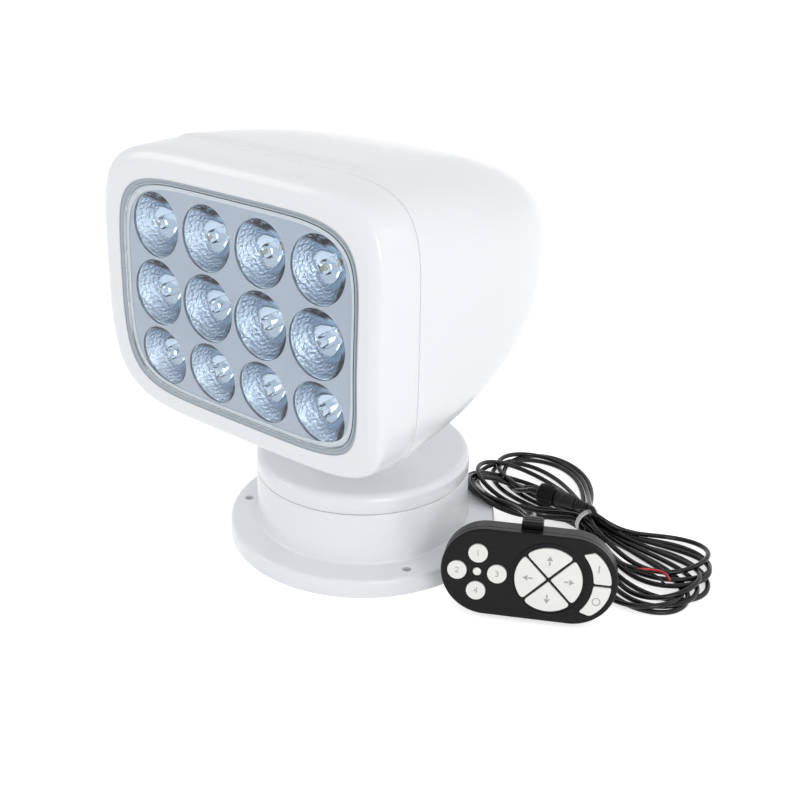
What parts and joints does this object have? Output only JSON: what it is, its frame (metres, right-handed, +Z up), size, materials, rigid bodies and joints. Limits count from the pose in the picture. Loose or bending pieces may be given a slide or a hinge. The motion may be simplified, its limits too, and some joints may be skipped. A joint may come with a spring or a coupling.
{
  "type": "marine searchlight",
  "caption": "Pan and tilt marine LED searchlight with reflector cups behind a curved lens, on a round screw-down base, with a wired key remote and its coiled cable.",
  "frame": {"origin": "on the pan axis at the underside of the base, where it sits on the deck", "axes": "+Z up along the pan axis, the lamp looks along -Y at rest, +X to its left as seen from the lamp, towards the remote"},
  "size_m": [0.3039, 0.2477, 0.254],
  "materials": {
    "white_gloss": "gloss",
    "black_plastic": "satin",
    "black_rubber": "satin",
    "white_key": "satin",
    "board_green": "satin",
    "board_white": "satin",
    "steel": "satin",
    "aluminium": "satin",
    "brass": "satin",
    "nylon": "satin",
    "motor_can": "satin",
    "clear_lens": "clear gloss",
    "grey_gasket": "satin",
    "satin_silver": "satin",
    "vacuum_chrome": "polished",
    "grey_silicone": "matte",
    "red_insulation": "satin"
  },
  "bodies": {
    "base": {"base_housing": "white_gloss", "bottom_cover": "white_gloss", "cover_screw_1": "steel", "cover_screw_2": "steel", "cover_screw_3": "steel", "cover_screw_4": "steel", "cable_grommet": "black_rubber", "control_board": "board_green", "rotary_seal": "black_rubber", "pan_spindle": "steel", "pan_gear": "nylon", "pan_bearing": "steel", "spindle_nut": "brass", "remote_front_shell": "black_plastic", "remote_rear_shell": "black_plastic", "indicator_light": "white_key", "keypad_mat": "grey_silicone", "remote_board": "board_green", "cable_clip": "black_plastic", "cable_lead": "black_rubber", "cable_bundle": "black_rubber", "cable_tie": "white_key", "connector_nut": "black_plastic", "connector_body": "black_rubber", "power_core": "red_insulation"},
    "turret": {"turntable": "nylon", "pan_motor": "motor_can", "turret_cap": "white_gloss", "yoke": "white_gloss", "tilt_axle": "steel", "axle_cap_right": "white_gloss", "axle_cap_left": "white_gloss", "tilt_gear": "nylon"},
    "pan_pinion": {"pan_pinion": "brass"},
    "head": {"neck_housing": "white_gloss", "bushing_right": "nylon", "bushing_left": "nylon", "tilt_motor": "motor_can", "head_shell": "white_gloss", "shell_seal": "black_rubber", "front_bezel": "white_gloss", "lens": "clear_lens", "lens_gasket": "grey_gasket", "reflector_plate": "satin_silver", "reflector_array": "vacuum_chrome", "led_board": "board_white", "heat_sink": "aluminium", "driver_board": "board_green"},
    "tilt_pinion": {"tilt_pinion": "brass"},
    "key_1": {"key_1": "white_key"},
    "key_2": {"key_2": "white_key"},
    "key_3": {"key_3": "white_key"},
    "key_4": {"key_4": "white_key"},
    "key_right": {"key_right": "white_key"},
    "key_up": {"key_up": "white_key"},
    "key_left": {"key_left": "white_key"},
    "key_down": {"key_down": "white_key"},
    "key_on": {"key_on": "white_key"},
    "key_off": {"key_off": "white_key"}
  },
  "joints": [
    {"name": "pan", "type": "hinge", "parent": "base", "child": "turret", "pos_m": [0, 0, 0], "axis": [0, 0, 1], "range_deg": [-180, 180]},
    {"name": "pan_pinion_spin", "type": "hinge", "parent": "turret", "child": "pan_pinion", "pos_m": [0, 0.0375, 0.022], "axis": [0, 0, 1], "range_deg": [-725, 725]},
    {"name": "tilt", "type": "hinge", "parent": "turret", "child": "head", "pos_m": [0, 0, 0.082], "axis": [-1, 0, 0], "range_deg": [-20, 50]},
    {"name": "tilt_pinion_spin", "type": "hinge", "parent": "head", "child": "tilt_pinion", "pos_m": [0.0117, 0, 0.0988], "axis": [-1, 0, 0], "range_deg": [-60, 130]},
    {"name": "key_1_press", "type": "slide", "parent": "base", "child": "key_1", "axis": [-0.4631, 0.8674, -0.1822], "range_m": [0, 0.0008], "stiffness_N_per_m": 400},
    {"name": "key_2_press", "type": "slide", "parent": "base", "child": "key_2", "axis": [-0.4631, 0.8674, -0.1822], "range_m": [0, 0.0008], "stiffness_N_per_m": 400},
    {"name": "key_3_press", "type": "slide", "parent": "base", "child": "key_3", "axis": [-0.4631, 0.8674, -0.1822], "range_m": [0, 0.0008], "stiffness_N_per_m": 400},
    {"name": "key_4_press", "type": "slide", "parent": "base", "child": "key_4", "axis": [-0.4631, 0.8674, -0.1822], "range_m": [0, 0.0008], "stiffness_N_per_m": 400},
    {"name": "key_right_press", "type": "slide", "parent": "base", "child": "key_right", "axis": [-0.4631, 0.8674, -0.1822], "range_m": [0, 0.0008], "stiffness_N_per_m": 400},
    {"name": "key_up_press", "type": "slide", "parent": "base", "child": "key_up", "axis": [-0.4631, 0.8674, -0.1822], "range_m": [0, 0.0008], "stiffness_N_per_m": 400},
    {"name": "key_left_press", "type": "slide", "parent": "base", "child": "key_left", "axis": [-0.4631, 0.8674, -0.1822], "range_m": [0, 0.0008], "stiffness_N_per_m": 400},
    {"name": "key_down_press", "type": "slide", "parent": "base", "child": "key_down", "axis": [-0.4631, 0.8674, -0.1822], "range_m": [0, 0.0008], "stiffness_N_per_m": 400},
    {"name": "key_on_press", "type": "slide", "parent": "base", "child": "key_on", "axis": [-0.4631, 0.8674, -0.1822], "range_m": [0, 0.0008], "stiffness_N_per_m": 400},
    {"name": "key_off_press", "type": "slide", "parent": "base", "child": "key_off", "axis": [-0.4631, 0.8674, -0.1822], "range_m": [0, 0.0008], "stiffness_N_per_m": 400}
  ],
  "couplings": [
    {"joint": "pan_pinion_spin", "follows": "pan", "ratio": 4},
    {"joint": "tilt_pinion_spin", "follows": "tilt", "ratio": 2.5}
  ]
}
